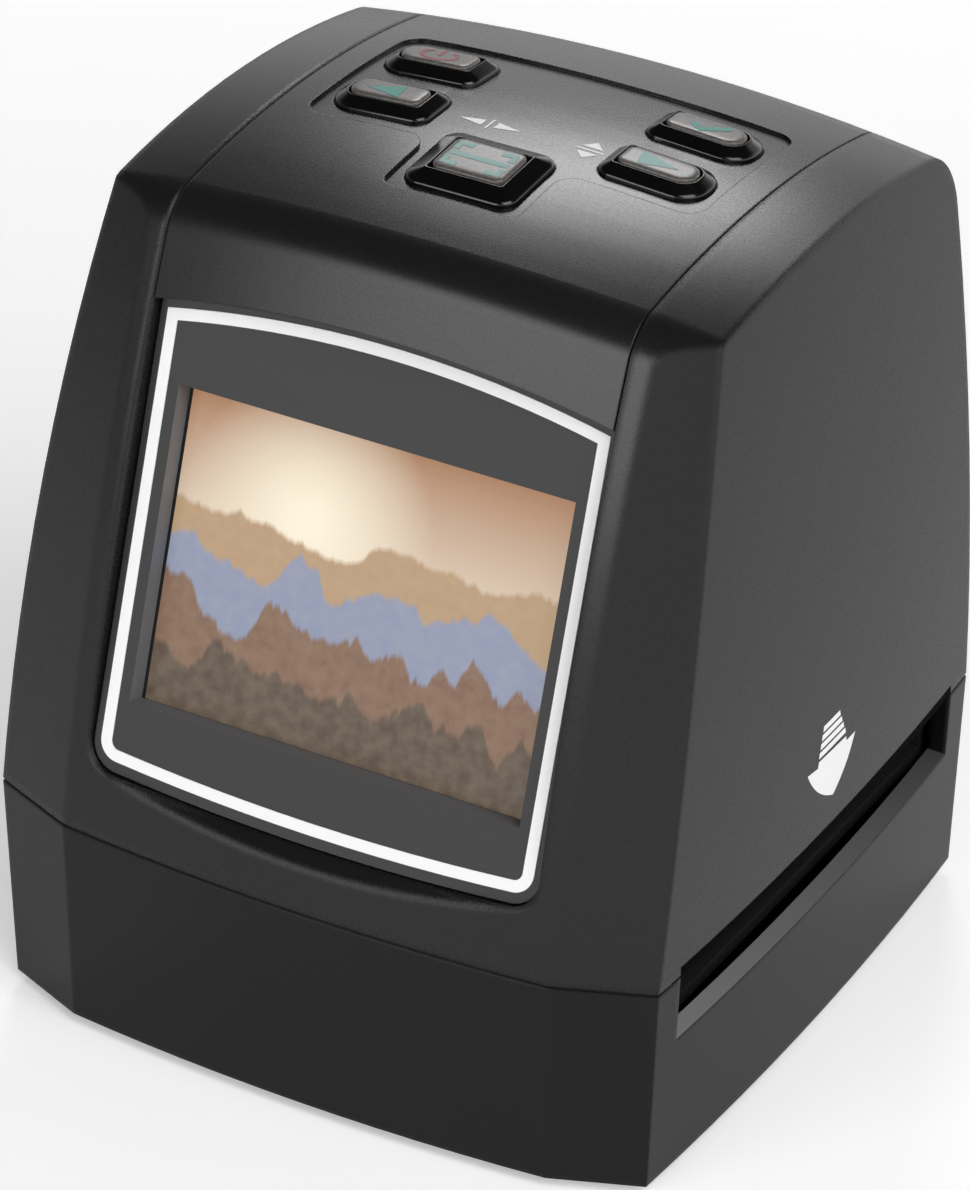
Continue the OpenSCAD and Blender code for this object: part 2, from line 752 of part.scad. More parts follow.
module diffuser() {
  color("ivory") translate([0, optic_y, slot_z - track_t - diffuser_t])
    block(light_size[0] - 1, light_size[1] - 1, diffuser_t);
}

module light_box() {
  z = lamp_board_z + lamp_t;
  color("white") translate([0, optic_y, z]) difference() {
    block(light_size[0], light_size[1], slot_z - track_t - diffuser_t - z);
    translate([0, 0, -1]) block(light_size[0] - 2 * light_wall, light_size[1] - 2 * light_wall, far);
  }
}

module backlight_board() {
  color("white") translate([0, optic_y, lamp_board_z]) block(light_size[0] + 2, light_size[1] + 2, lamp_t);
}

module backlight_leds() {
  pitch = [14, 12];
  color("yellow") for (i = [-1:1], j = [-0.5, 0.5])
    translate([i * pitch[0], optic_y + j * pitch[1], lamp_board_z + lamp_t]) {
      block(3.5, 2.8, 0.7);
      block(2.6, 2, 0.9);
    }
}

module lens_tower() {
  posts = [19.5, -4, back_y - socket_set - sd_size[1] - 2.7];
  pins = [11, -5, 11];
  color([0.15, 0.15, 0.15]) difference() {
    union() {
      translate([0, optic_y, gate_top]) difference() {
        block(tower_size[0], tower_size[1], tower_size[2]);
        translate([0, 0, -1])
          block(tower_size[0] - 2 * tower_wall, tower_size[1] - 2 * tower_wall, tower_size[2] + 1 - tower_wall);
      }
      for (x = [-posts[0], posts[0]], y = [posts[1], posts[2]])
        translate([x, y, tower_top - 1]) cylinder(h = main_board_z - tower_top + 1, r = 2);
      for (x = [-pins[0], pins[0]], y = [pins[1], pins[2]])
        translate([x, y, tower_top - 1]) cylinder(h = sensor_board_z - tower_top + 1, r = 1.5);
    }
    translate([0, optic_y, gate_top]) cylinder(h = far, r = barrel_r + 0.05);
  }
}

module lens_barrel() {
  color([0.05, 0.05, 0.05]) translate([0, optic_y, tower_top - 8]) difference() {
    union() {
      cylinder(h = 13, r = barrel_r);
      translate([0, 0, 8]) cylinder(h = 1.5, r = barrel_r + 1.5);
    }
    translate([0, 0, -1]) cylinder(h = 5, r = barrel_bore);
    cylinder(h = far, r = 4);
  }
}

module lens_glass() {
  color("lightblue") translate([0, optic_y, tower_top - 6.5]) intersection() {
    cylinder(h = 2.5, r = barrel_bore);
    translate([0, 0, 20]) sphere(r = 20);
  }
}

module sensor_board() {
  color("darkgreen") translate([0, optic_y, sensor_board_z]) block(28, 22, board_t);
}

module image_sensor() {
  color("gray") translate([0, optic_y, sensor_board_z - 1.2]) block(9, 7, 1.2);
}

module main_board() {
  half = opening_hw - ledge_in - 0.4;
  front = -8;
  color("darkgreen") translate([-half, front, main_board_z]) cube([2 * half, back_y - 3 - front, board_t]);
}

module main_chips() {
  color([0.08, 0.08, 0.08]) for (c = [[-14, 4, 12, 1.2], [6, 6, 10, 1.1], [17, 2, 7, 1]])
    translate([c[0], c[1], main_board_z + board_t]) block(c[2], c[2], c[3]);
}

module usb_socket() {
  t = 0.4;
  y = back_y - socket_set - usb_size[1];
  color("silver") translate([usb_x, y, main_board_z + board_t]) difference() {
    translate([0, usb_size[1] / 2, 0]) block(usb_size[0], usb_size[1], usb_size[2]);
    difference() {
      translate([0, usb_size[1] / 2 + 2, t]) block(usb_size[0] - 2 * t, usb_size[1], usb_size[2] - 2 * t);
      translate([0, usb_size[1] / 2 - 1, 1.6]) block(4, usb_size[1], 0.8);
    }
  }
}

module av_jack() {
  y = back_y - socket_set + 0.3;
  nose = 2.6;
  color([0.1, 0.1, 0.1]) difference() {
    union() {
      translate([av_x, y - nose - av_size[1] / 2, main_board_z + board_t]) block(av_size[0], av_size[1], av_size[2]);
      translate([av_x, y, av_z]) rotate([90, 0, 0]) cylinder(h = nose + 1, r = av_nose_r);
    }
    translate([av_x, y + 1, av_z]) rotate([90, 0, 0]) cylinder(h = av_len + 1, r = av_r);
  }
}

module sd_socket() {
  t = 0.3;
  y = back_y - socket_set - sd_size[1];
  color("silver") translate([sd_x, y, main_board_z - sd_size[2]]) difference() {
    translate([0, sd_size[1] / 2, 0]) block(sd_size[0], sd_size[1], sd_size[2]);
    translate([0, sd_size[1] / 2 + 2, t]) block(sd_size[0] - 4 * t, sd_size[1], sd_size[2] - 2 * t);
  }
}

upper_housing();
top_cover();
rear_panel();
lower_housing();
front_bezel();
bezel_trim();
lcd_panel();
lcd_frame();
key_surround();
power_key();
left_key();
ok_key();
right_key();
scan_key();
key_board();
key_switches();
film_track();
gate_plate();
diffuser();
light_box();
backlight_board();
backlight_leds();
lens_tower();
lens_barrel();
lens_glass();
sensor_board();
image_sensor();
main_board();
main_chips();
usb_socket();
av_jack();
sd_socket();
rubber_feet();
base_screws();
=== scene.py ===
# %% [markdown]
# A film negative scanner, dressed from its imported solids.
# The housings, keys, screen and sockets arrive as finished solids. This lesson
# gives each its real finish, adds the thin printed signs, lights the table and
# sets the camera to the photograph's view.

# %% The frame
import bmesh
import bpy
import json
from math import cos, pi, radians, sin
from mathutils import Matrix, Vector
from mathutils.bvhtree import BVHTree


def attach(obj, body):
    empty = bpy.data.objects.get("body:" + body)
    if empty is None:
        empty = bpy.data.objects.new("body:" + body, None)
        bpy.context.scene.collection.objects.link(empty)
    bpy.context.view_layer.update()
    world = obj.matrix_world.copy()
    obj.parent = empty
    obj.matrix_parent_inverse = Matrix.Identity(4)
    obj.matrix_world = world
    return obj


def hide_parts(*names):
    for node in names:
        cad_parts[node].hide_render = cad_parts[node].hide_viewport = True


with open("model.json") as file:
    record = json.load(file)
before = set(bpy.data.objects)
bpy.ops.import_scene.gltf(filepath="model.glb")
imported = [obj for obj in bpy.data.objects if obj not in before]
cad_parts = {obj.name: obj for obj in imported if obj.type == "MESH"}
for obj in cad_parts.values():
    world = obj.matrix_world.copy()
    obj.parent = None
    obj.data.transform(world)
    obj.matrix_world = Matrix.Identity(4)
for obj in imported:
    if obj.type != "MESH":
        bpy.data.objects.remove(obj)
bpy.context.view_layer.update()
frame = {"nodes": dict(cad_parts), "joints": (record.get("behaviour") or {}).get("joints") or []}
nodes = frame["nodes"]
MM = 0.001
print("CAD nodes:", len(nodes))

# %% [markdown]
# Two helpers serve every material. Colours are written as sRGB hex values, as a
# paint chart gives them, and Blender mixes light in linear values, so one
# function turns the first into the second. The other adds a shader node with
# its settings and its links in one call. A third gives a material to pieces.

# %% Helpers for colour and nodes
def linear(hex_colour):
    channels = [int(hex_colour[i:i + 2], 16) / 255 for i in (1, 3, 5)]
    return [c / 12.92 if c <= 0.04045 else ((c + 0.055) / 1.055) ** 2.4 for c in channels] + [1]


def add(material, kind, values=None, links=None, **settings):
    made = material.node_tree.nodes.new("ShaderNode" + kind)
    for name, value in settings.items():
        setattr(made, name, value)
    for socket, value in (values or {}).items():
        made.inputs[socket].default_value = value
    for socket, source in (links or {}).items():
        material.node_tree.links.new(source, made.inputs[socket])
    return made


def new_material(name):
    material = bpy.data.materials.new(name)
    material.use_nodes = True
    material.node_tree.nodes.clear()
    return material


def finish_material(material, shader):
    add(material, "OutputMaterial", links={"Surface": shader.outputs[0]})
    return material


def dress(material, *names):
    for name in names:
        slots = nodes[name].material_slots
        for slot in slots:
            slot.material = material

# %% [markdown]
# The housings are ABS, moulded in a tool with a fine spark-eroded grain. The
# grain scatters the reflection of a lamp into a broad soft sheen, so the plastic
# reads as satin and not as gloss. Its pits are about 0.15 mm across; they are
# drawn at 0.3 mm here, because finer ones vanish at this picture's scale.
# A Bevel node rounds the light on every edge as the tool's small radii do.

# %% Grained ABS
GRAIN = 0.3 * MM
PIT_DEPTH = 0.02 * MM
FLOW_MARKS = 30 * MM


def grained_abs(name, colour, roughness, edge, ior=1.45, depth=0.08, mottle=0.12):
    m = new_material(name)
    place = add(m, "TexCoord").outputs["Object"]
    rounded_edge = add(m, "Bevel", {"Radius": edge}, samples=4)
    grain = add(m, "TexNoise", {"Scale": 1 / GRAIN, "Detail": 2.0, "Roughness": 0.6}, {"Vector": place})
    flow = add(m, "TexNoise", {"Scale": 1 / FLOW_MARKS, "Detail": 3.0}, {"Vector": place})
    bump = add(m, "Bump", {"Strength": depth, "Distance": PIT_DEPTH},
               {"Height": grain.outputs["Fac"], "Normal": rounded_edge.outputs[0]})
    tone = add(m, "MapRange", {"From Min": 0.3, "From Max": 0.7, "To Min": 1 - mottle, "To Max": 1 + mottle},
               {"Value": flow.outputs["Fac"]})
    tint = add(m, "VectorMath", {0: linear(colour)[:3]}, {"Scale": tone.outputs[0]}, operation="SCALE")
    rough = add(m, "MapRange", {"To Min": roughness - 0.05, "To Max": roughness + 0.05},
                {"Value": grain.outputs["Fac"]})
    shader = add(m, "BsdfPrincipled", {"IOR": ior},
                 {"Base Color": tint.outputs[0], "Roughness": rough.outputs[0], "Normal": bump.outputs[0]})
    return finish_material(m, shader)


housing_abs = grained_abs("grained_abs_housing", "#161617", 0.27, 1.2 * MM)
cover_abs = grained_abs("grained_abs_cover", "#171718", 0.27, 0.25 * MM)
base_abs = grained_abs("grained_abs_base", "#111112", 0.3, 0.8 * MM, ior=1.34)
dress(housing_abs, "upper_housing")
dress(cover_abs, "top_cover", "rear_panel")
dress(base_abs, "lower_housing")
print("Grain drawn at", GRAIN / MM, "mm")

# %% [markdown]
# The screen panel is the same plastic with a flatter paint finish. The walls of
# its window are a lighter grey: the faces that turn away from the panel's own
# direction get that lighter grey, worked out from the direction alone.

# %% Painted screen panel
LEAN = radians(18)
panel_out = Vector((0, -cos(LEAN), sin(LEAN)))


def painted_panel():
    m = new_material("painted_abs_panel")
    place = add(m, "TexCoord").outputs["Object"]
    normal = add(m, "NewGeometry").outputs["True Normal"]
    turned = add(m, "VectorMath", {1: panel_out}, {0: normal}, operation="DOT_PRODUCT")
    face = add(m, "MapRange", {"From Min": 0.4, "From Max": 0.6}, {"Value": turned.outputs["Value"]})
    colour = add(m, "Mix", {"A": linear("#646568"), "B": linear("#2b2b2b")}, data_type="RGBA")
    m.node_tree.links.new(face.outputs[0], colour.inputs["Factor"])
    grain = add(m, "TexNoise", {"Scale": 1 / GRAIN, "Detail": 2.0}, {"Vector": place})
    bump = add(m, "Bump", {"Strength": 0.15, "Distance": PIT_DEPTH}, {"Height": grain.outputs["Fac"]})
    shader = add(m, "BsdfPrincipled", {"Roughness": 0.5, "IOR": 1.5},
                 {"Base Color": colour.outputs["Result"], "Normal": bump.outputs[0]})
    return finish_material(m, shader)


dress(painted_panel(), "front_bezel")

# %% [markdown]
# The rest of the plastics, the boards and the rubber differ only in colour and
# gloss, so one material with those as its settings serves them all.

# %% Plain plastics
def plain_plastic(name, colour, roughness, scale=0.8 * MM, depth=0.1, coat=0.0):
    m = new_material(name)
    place = add(m, "TexCoord").outputs["Object"]
    grain = add(m, "TexNoise", {"Scale": 1 / scale, "Detail": 3.0}, {"Vector": place})
    bump = add(m, "Bump", {"Strength": depth, "Distance": PIT_DEPTH}, {"Height": grain.outputs["Fac"]})
    rough = add(m, "MapRange", {"To Min": roughness * 0.85, "To Max": roughness * 1.15},
                {"Value": grain.outputs["Fac"]})
    shader = add(m, "BsdfPrincipled",
                 {"Base Color": linear(colour), "IOR": 1.5, "Coat Weight": coat, "Coat Roughness": 0.05},
                 {"Roughness": rough.outputs[0], "Normal": bump.outputs[0]})
    return finish_material(m, shader)


dress(plain_plastic("painted_white_trim", "#f4f4f4", 0.45), "bezel_trim")
gloss_abs = plain_plastic("gloss_abs_surround", "#070707", 0.16, depth=0.03)
dress(gloss_abs, "key_surround")
dress(plain_plastic("matt_black_track", "#0c0c0d", 0.7),
      "film_track", "gate_plate", "lens_tower", "lens_barrel")
dress(plain_plastic("opal_diffuser", "#e6e6e0", 0.5), "diffuser")
dress(plain_plastic("white_reflector", "#dedede", 0.6), "light_box", "backlight_board")
dress(plain_plastic("led_phosphor", "#e0c860", 0.4), "backlight_leds")
dress(plain_plastic("solder_mask_green", "#1c5a32", 0.3, coat=0.3),
      "key_board", "sensor_board", "main_board")
dress(plain_plastic("epoxy_chip", "#151516", 0.5), "main_chips", "key_switches", "image_sensor")
dress(plain_plastic("moulded_jack", "#101011", 0.4), "av_jack")
dress(plain_plastic("rubber_foot", "#161616", 0.85, depth=0.4), "rubber_feet")

# %% [markdown]
# Sheet steel with a nickel plate shows the direction it was rolled in as very
# fine lines, which stretch a highlight across them.

# %% Plated steel
ROLL_MARKS = 1.2 * MM


def plated_steel(name, colour, roughness):
    m = new_material(name)
    place = add(m, "TexCoord").outputs["Object"]
    stretch = add(m, "Mapping", {"Scale": (1, 12, 1)}, {"Vector": place})
    lines = add(m, "TexNoise", {"Scale": 1 / ROLL_MARKS, "Detail": 4.0}, {"Vector": stretch.outputs[0]})
    rough = add(m, "MapRange", {"To Min": roughness - 0.08, "To Max": roughness + 0.08},
                {"Value": lines.outputs["Fac"]})
    bump = add(m, "Bump", {"Strength": 0.15, "Distance": 0.01 * MM}, {"Height": lines.outputs["Fac"]})
    shader = add(m, "BsdfPrincipled", {"Base Color": linear(colour), "Metallic": 1.0},
                 {"Roughness": rough.outputs[0], "Normal": bump.outputs[0]})
    return finish_material(m, shader)


dress(plated_steel("nickel_plated_steel", "#b9b9b6", 0.3),
      "usb_socket", "sd_socket", "lcd_frame", "base_screws")

# %% [markdown]
# The lens is clear glass with a coating that looks violet at a shallow angle.

# %% Lens glass
def optical_glass():
    m = new_material("coated_optical_glass")
    rim = add(m, "LayerWeight", {"Blend": 0.3})
    tint = add(m, "Mix", {"A": linear("#dfe8f4"), "B": linear("#8a6cc0")}, {"Factor": rim.outputs["Facing"]},
               data_type="RGBA")
    shader = add(m, "BsdfPrincipled", {"Transmission Weight": 1.0, "Roughness": 0.02, "IOR": 1.6},
                 {"Base Color": tint.outputs["Result"]})
    return finish_material(m, shader)


dress(optical_glass(), "lens_glass")

# %% [markdown]
# The key caps are smoky acrylic with a fine metal flake in it. The flake shows
# as a speckle of light and dark grey about 0.3 mm across. A little subsurface
# scatter over 0.6 mm softens the cap's edge, as light does in clear plastic.

# %% Smoky acrylic key caps
FLAKE = 0.3 * MM
SCATTER = 0.6 * MM


def smoky_acrylic():
    m = new_material("smoky_acrylic_cap")
    place = add(m, "TexCoord").outputs["Object"]
    flake = add(m, "TexNoise", {"Scale": 1 / FLAKE, "Detail": 2.0}, {"Vector": place})
    spread = add(m, "MapRange", {"From Min": 0.3, "From Max": 0.7}, {"Value": flake.outputs["Fac"]})
    colour = add(m, "Mix", {"A": linear("#454240"), "B": linear("#625e5b")},
                 {"Factor": spread.outputs[0]}, data_type="RGBA")
    shader = add(m, "BsdfPrincipled",
                 {"Roughness": 0.3, "IOR": 1.49, "Subsurface Weight": 0.2,
                  "Subsurface Radius": (1, 0.95, 0.9), "Subsurface Scale": SCATTER},
                 {"Base Color": colour.outputs["Result"]})
    return finish_material(m, shader)


cap_acrylic = smoky_acrylic()

# %% [markdown]
# A key's joint points down into the body, and the key's top is the plane furthest
# out against it, so the middle of that plane and the joint's axis give each key a
# frame of its own. In that frame a surround and a cap are both lofts: one rounded
# outline drawn again and again, further in and higher up. The steps are closer at
# the top edge, where a moulding is round. Heights are measured from a point
# CAP_H below the middle of the key's top.

# %% Lofts for the keys
CAP_H = 1.55
RIM_H = 1.3
KEY_GAP = 0.15
MIN_RADIUS = 0.3


def key_frame(node, joint):
    axis = Vector([j for j in frame["joints"] if j["name"] == joint][0]["axis"]).normalized()
    out = -axis
    corners = [v.co for v in nodes[node].data.vertices]
    level = max(c.dot(out) for c in corners)
    top = [c for c in corners if c.dot(out) > level - 0.01 * MM]
    low = Vector([min(c[i] for c in top) for i in range(3)])
    high = Vector([max(c[i] for c in top) for i in range(3)])
    right = Vector((0, 1, 0)).cross(out).normalized()
    return (low + high) / 2 - out * CAP_H * MM, right, out.cross(right), out


def rounded_outline(width, depth, left_r, right_r, steps=10):
    corners = [(width / 2, depth / 2, right_r, 0), (-width / 2, depth / 2, left_r, 90),
               (-width / 2, -depth / 2, left_r, 180), (width / 2, -depth / 2, right_r, 270)]
    points = []
    for x, y, r, turn in corners:
        mid_x = x - r if x > 0 else x + r
        mid_y = y - r if y > 0 else y + r
        for i in range(steps + 1):
            angle = radians(turn + 90 * i / steps)
            points.append((mid_x + r * cos(angle), mid_y + r * sin(angle)))
    return points


def loft(name, forms, material, body, ring_closed):
    """Joins each form's rings of points; the last ring meets the first, or is filled."""
    mesh = bpy.data.meshes.new(name)
    bm = bmesh.new()
    for rings in forms:
        rows = [[bm.verts.new(p) for p in ring] for ring in rings]
        pairs = list(zip(rows, rows[1:] + rows[:1])) if ring_closed else list(zip(rows, rows[1:]))
        for low, high in pairs:
            for i in range(len(low)):
                j = (i + 1) % len(low)
                bm.faces.new((low[i], low[j], high[j], high[i]))
        if not ring_closed:
            bm.faces.new(rows[-1])
            bm.faces.new(rows[0][::-1])
    for face in bm.faces:
        face.smooth = True
    bm.to_mesh(mesh)
    bm.free()
    piece = bpy.data.objects.new(name, mesh)
    bpy.context.scene.collection.objects.link(piece)
    mesh.materials.append(material)
    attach(piece, body)
    return piece


def key_rings(place, size, profile):
    floor, right, up, out = place
    width, depth, left_r, right_r = size
    rings = []
    for inset, height in profile:
        outline = rounded_outline(width - 2 * inset, depth - 2 * inset,
                                  max(left_r - inset, MIN_RADIUS), max(right_r - inset, MIN_RADIUS))
        rings.append([floor + (right * x + up * y + out * height) * MM for x, y in outline])
    return rings

# %% [markdown]
# A surround's section runs up its outer wall, over the rounded shoulder, along a
# slope to the inner edge and down again inside the recess floor. A cap's section
# runs up its wall and over a rounded edge. Both are (inset, height) steps in mm.

# %% Key surrounds and caps
CAP_STEPS = [(0, -0.8), (0, 1.2), (0.04, 1.34), (0.13, 1.45), (0.3, 1.51), (0.7, 1.54), (1.1, CAP_H)]
RIM_FOOT, RIM_ROOT, ROOT_SPREAD = -2.3, -3.2, -1.2
KEY_W, KEY_D = 12.8, 7.6
SCAN_W, SCAN_D = 14.0, 11.6
SMALL_RIM, SCAN_RIM = 1.65, 2.35
CAP_ROUNDNESS = 0.55
KEYS = {
    "power": (KEY_W, KEY_D, 3.4, 2.0, SMALL_RIM),
    "left": (KEY_W, KEY_D, 3.4, 2.0, SMALL_RIM),
    "ok": (KEY_W, KEY_D, 2.0, 3.4, SMALL_RIM),
    "right": (KEY_W, KEY_D, 2.0, 3.4, SMALL_RIM),
    "scan": (SCAN_W, SCAN_D, 2.2, 2.2, SCAN_RIM),
}


def rim_steps(rim):
    outer = [(0, RIM_FOOT), (0, 0.1), (0.06, 0.3), (0.2, 0.46), (0.4, 0.6)]
    crest = [(rim - 0.42, RIM_H - 0.2), (rim - 0.22, RIM_H - 0.06),
             (rim - 0.1, RIM_H - 0.05), (rim, RIM_H - 0.2)]
    root = [(rim, RIM_ROOT), (ROOT_SPREAD, RIM_ROOT), (ROOT_SPREAD, RIM_FOOT)]
    return outer + crest + root


places = {}
caps = {}
rims = []
for key, (width, depth, left_r, right_r, rim) in KEYS.items():
    places[key] = key_frame(key + "_key", key + "_press")
    rims.append(key_rings(places[key], (width, depth, left_r, right_r), rim_steps(rim)))
    inset = rim + KEY_GAP
    cap_size = (width - 2 * inset, depth - 2 * inset, CAP_ROUNDNESS * left_r, CAP_ROUNDNESS * right_r)
    cap_rings = key_rings(places[key], cap_size, CAP_STEPS)
    caps[key] = loft(key + "_cap", [cap_rings], cap_acrylic, key + "_key_body", False)
    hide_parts(key + "_key")
    print(key, "cap", round(cap_size[0], 2), "x", round(cap_size[1], 2), "mm")
surround = loft("gloss_surround", rims, gloss_abs, "scanner", True)
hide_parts("key_surround")

# %% [markdown]
# The screen is lit from behind. Its picture is drawn by the material in the
# screen's own plane: a low sun over four ridges, each ridge a line of noise,
# warmer and darker towards the viewer. Outside the active area the glass is black.

# %% Screen picture
WINDOW_AT = Vector((0, -29.32, 60.97)) * MM
ACTIVE_W = 48.96 * MM
ACTIVE_H = 36.72 * MM
SUN_AT = (-8 * MM, 7 * MM, 0)
SUN_CORE, SUN_HAZE = 2 * MM, 16 * MM
# Each ridge: height, swing (both in halves of the picture), width in mm, colour.
RIDGES = [(0.28, 0.30, 14, "#b4936f"), (0.02, 0.34, 10, "#8390b0"),
          (-0.30, 0.36, 8, "#74503c"), (-0.62, 0.30, 6, "#38261e")]
RIDGE_STEP = 0.37


def screen_picture():
    m = new_material("lit_screen")
    place = add(m, "TexCoord").outputs["Object"]
    flat = add(m, "Mapping", {"Location": WINDOW_AT, "Rotation": (pi / 2 - LEAN, 0, 0)}, {"Vector": place},
               vector_type="TEXTURE")
    split = add(m, "SeparateXYZ", links={"Vector": flat.outputs[0]})
    across, up = split.outputs["X"], split.outputs["Y"]

    def maths(operation, a, b):
        made = add(m, "Math", operation=operation)
        for i, value in enumerate((a, b)):
            if isinstance(value, (int, float)):
                made.inputs[i].default_value = value
            else:
                m.node_tree.links.new(value, made.inputs[i])
        return made.outputs[0]

    def mix(factor, a, b):
        made = add(m, "Mix", data_type="RGBA")
        for socket, value in (("Factor", factor), ("A", a), ("B", b)):
            if hasattr(value, "links"):
                m.node_tree.links.new(value, made.inputs[socket])
            else:
                made.inputs[socket].default_value = value
        return made.outputs["Result"]

    height = maths("DIVIDE", up, ACTIVE_H / 2)
    sky = mix(add(m, "MapRange", {"From Min": -0.2, "From Max": 1.0}, {"Value": height}).outputs[0],
              linear("#f3e6d2"), linear("#a8764e"))
    sun = add(m, "VectorMath", {1: SUN_AT}, {0: flat.outputs[0]}, operation="DISTANCE")
    glow = add(m, "MapRange", {"From Min": SUN_CORE, "From Max": SUN_HAZE, "To Min": 1, "To Max": 0},
               {"Value": sun.outputs["Value"]})
    picture = mix(glow.outputs[0], sky, linear("#fff4dc"))
    for i, (base, swing, width_mm, colour) in enumerate(RIDGES):
        shifted = maths("ADD", across, i * RIDGE_STEP)
        line = add(m, "TexNoise", {"Scale": 1 / (width_mm * MM), "Detail": 5.0, "Roughness": 0.55},
                   {"W": shifted}, noise_dimensions="1D")
        top = maths("ADD", maths("MULTIPLY", maths("SUBTRACT", line.outputs["Fac"], 0.5), swing * 2), base)
        above = maths("SUBTRACT", top, height)
        mask = add(m, "MapRange", {"From Min": -0.02, "From Max": 0.02}, {"Value": above})
        speckle = add(m, "TexNoise", {"Scale": 1 / (1.5 * MM), "Detail": 4.0}, {"Vector": flat.outputs[0]})
        shade = mix(speckle.outputs["Fac"], linear(colour), linear("#d8c4a6"))
        body = mix(0.25, linear(colour), shade)
        picture = mix(mask.outputs[0], picture, body)
    inside = maths("MULTIPLY", maths("LESS_THAN", maths("ABSOLUTE", across, 0), ACTIVE_W / 2),
                   maths("LESS_THAN", maths("ABSOLUTE", up, 0), ACTIVE_H / 2))
    shown = mix(inside, linear("#101012"), picture)
    shader = add(m, "BsdfPrincipled", {"Roughness": 0.35, "Emission Strength": 0.72},
                 {"Base Color": mix(0.75, shown, linear("#000000")), "Emission Color": shown})
    return finish_material(m, shader)


dress(screen_picture(), "lcd_panel")

# %% [markdown]
# The signs are screen-printed ink, a few hundredths of a millimetre thick. Each
# is a flat outline, cut into small triangles and dropped along one direction onto
# the piece that carries it, so that it follows the curve underneath.

# %% Printing ink on a surface
INK_LIFT = 0.03 * MM
INK_SPECK = 0.25 * MM
DROP = 20


def ink(name, colour, ior=1.5):
    m = new_material(name)
    place = add(m, "TexCoord").outputs["Object"]
    speck = add(m, "TexNoise", {"Scale": 1 / INK_SPECK, "Detail": 2.0}, {"Vector": place})
    rough = add(m, "MapRange", {"To Min": 0.45, "To Max": 0.6}, {"Value": speck.outputs["Fac"]})
    shader = add(m, "BsdfPrincipled", {"Base Color": linear(colour), "IOR": ior},
                 {"Roughness": rough.outputs[0]})
    return finish_material(m, shader)


def surface_tree(carrier):
    mesh = carrier.data
    corners = [v.co.copy() for v in mesh.vertices]
    return BVHTree.FromPolygons(corners, [p.vertices[:] for p in mesh.polygons])


def print_on(name, carrier, body, outlines, origin, right, up, material, step=0.8 * MM):
    """Outlines are lists of (right, up) points in metres about the origin; up x right points in."""
    out = right.cross(up).normalized()
    tree = surface_tree(carrier)
    mesh = bpy.data.meshes.new(name)
    bm = bmesh.new()
    for outline in outlines:
        corners = [bm.verts.new(origin + right * a + up * b) for a, b in outline]
        bm.faces.new(corners)
    bmesh.ops.triangulate(bm, faces=bm.faces[:])
    for _ in range(4):
        long_edges = [e for e in bm.edges if e.calc_length() > step]
        if not long_edges:
            break
        bmesh.ops.subdivide_edges(bm, edges=long_edges, cuts=1)
        bmesh.ops.triangulate(bm, faces=bm.faces[:])
    missed = 0
    for v in bm.verts:
        hit = tree.ray_cast(v.co + out * DROP * MM, -out)[0]
        if hit is None:
            missed += 1
        else:
            v.co = hit + out * INK_LIFT
    bm.to_mesh(mesh)
    bm.free()
    piece = bpy.data.objects.new(name, mesh)
    bpy.context.scene.collection.objects.link(piece)
    mesh.materials.append(material)
    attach(piece, body)
    print(name, len(mesh.polygons), "faces,", missed, "missed")
    return piece

# %% [markdown]
# The signs are built from bands, arcs and bowed edges. Points are (right, up)
# pairs in mm in the plane of the sign, so each can be checked on squared paper.

# %% Outlines of the signs
def arc_points(rx, ry, first, last, steps=32):
    angles = [radians(first + (last - first) * i / steps) for i in range(steps + 1)]
    return [(rx * sin(angle), ry * cos(angle)) for angle in angles]


def band(path, width):
    """A closed outline of that width round a path of points."""
    left, right = [], []
    for i, p in enumerate(path):
        a = Vector(path[max(i - 1, 0)])
        b = Vector(path[min(i + 1, len(path) - 1)])
        along = (b - a).normalized()
        side = Vector((-along.y, along.x)) * width / 2
        left.append(tuple(Vector(p) + side))
        right.append(tuple(Vector(p) - side))
    return left + right[::-1]


def bowed(first, last, bulge, steps=10):
    """Points from first to last along a curve that bulges to the right of its way."""
    a, b = Vector(first), Vector(last)
    way = (b - a).normalized()
    aside = Vector((way.y, -way.x)) * bulge
    shares = [i / steps for i in range(steps + 1)]
    return [tuple(a.lerp(b, t) + aside * 4 * t * (1 - t)) for t in shares]


def scaled(points, size=MM):
    return [(a * size, b * size) for a, b in points]


red_ink = ink("power_red_ink", "#95394f")
teal_ink = ink("teal_ink", "#478d84")
pale_teal_ink = ink("pale_teal_ink", "#87aaa6")
white_ink = ink("white_ink", "#efefef")


def print_on_key(name, key, outlines, material):
    floor, right, up, _ = places[key]
    print_on(name, caps[key], key + "_key_body", [scaled(o) for o in outlines], floor, right, up, material)

# %% Signs on the caps
POWER_LINE, TICK_LINE, SCAN_LINE = 0.42, 1.0, 0.85
ring = band(arc_points(2.2, 1.35, 35, 325), POWER_LINE)
bar = band([(0, -0.1), (0, 1.6)], POWER_LINE)
print_on_key("power_sign", "power", [ring, bar], red_ink)
print_on_key("left_sign", "left", [[(-2.6, -0.3), (1.5, 1.45), (1.8, -1.45)]], teal_ink)
print_on_key("right_sign", "right", [[(-2.9, 1.4), (-2.2, -1.5), (2.4, -0.2)][::-1]], pale_teal_ink)
tick = band([(-1.9, 0.2), (-0.5, -1.05), (2.2, 1.15)], TICK_LINE)
print_on_key("confirm_sign", "ok", [tick], teal_ink)
corner = [(-3.4, 0.8), (-3.4, 2.1), (-1.8, 2.1)]
corners = [band([(sx * a, sy * b) for a, b in corner], SCAN_LINE)
           for sx, sy in ((1, 1), (-1, 1), (1, -1), (-1, -1))]
line = band([(-3.6, 0), (3.6, 0)], SCAN_LINE)
print_on_key("scan_sign", "scan", corners + [line], pale_teal_ink)

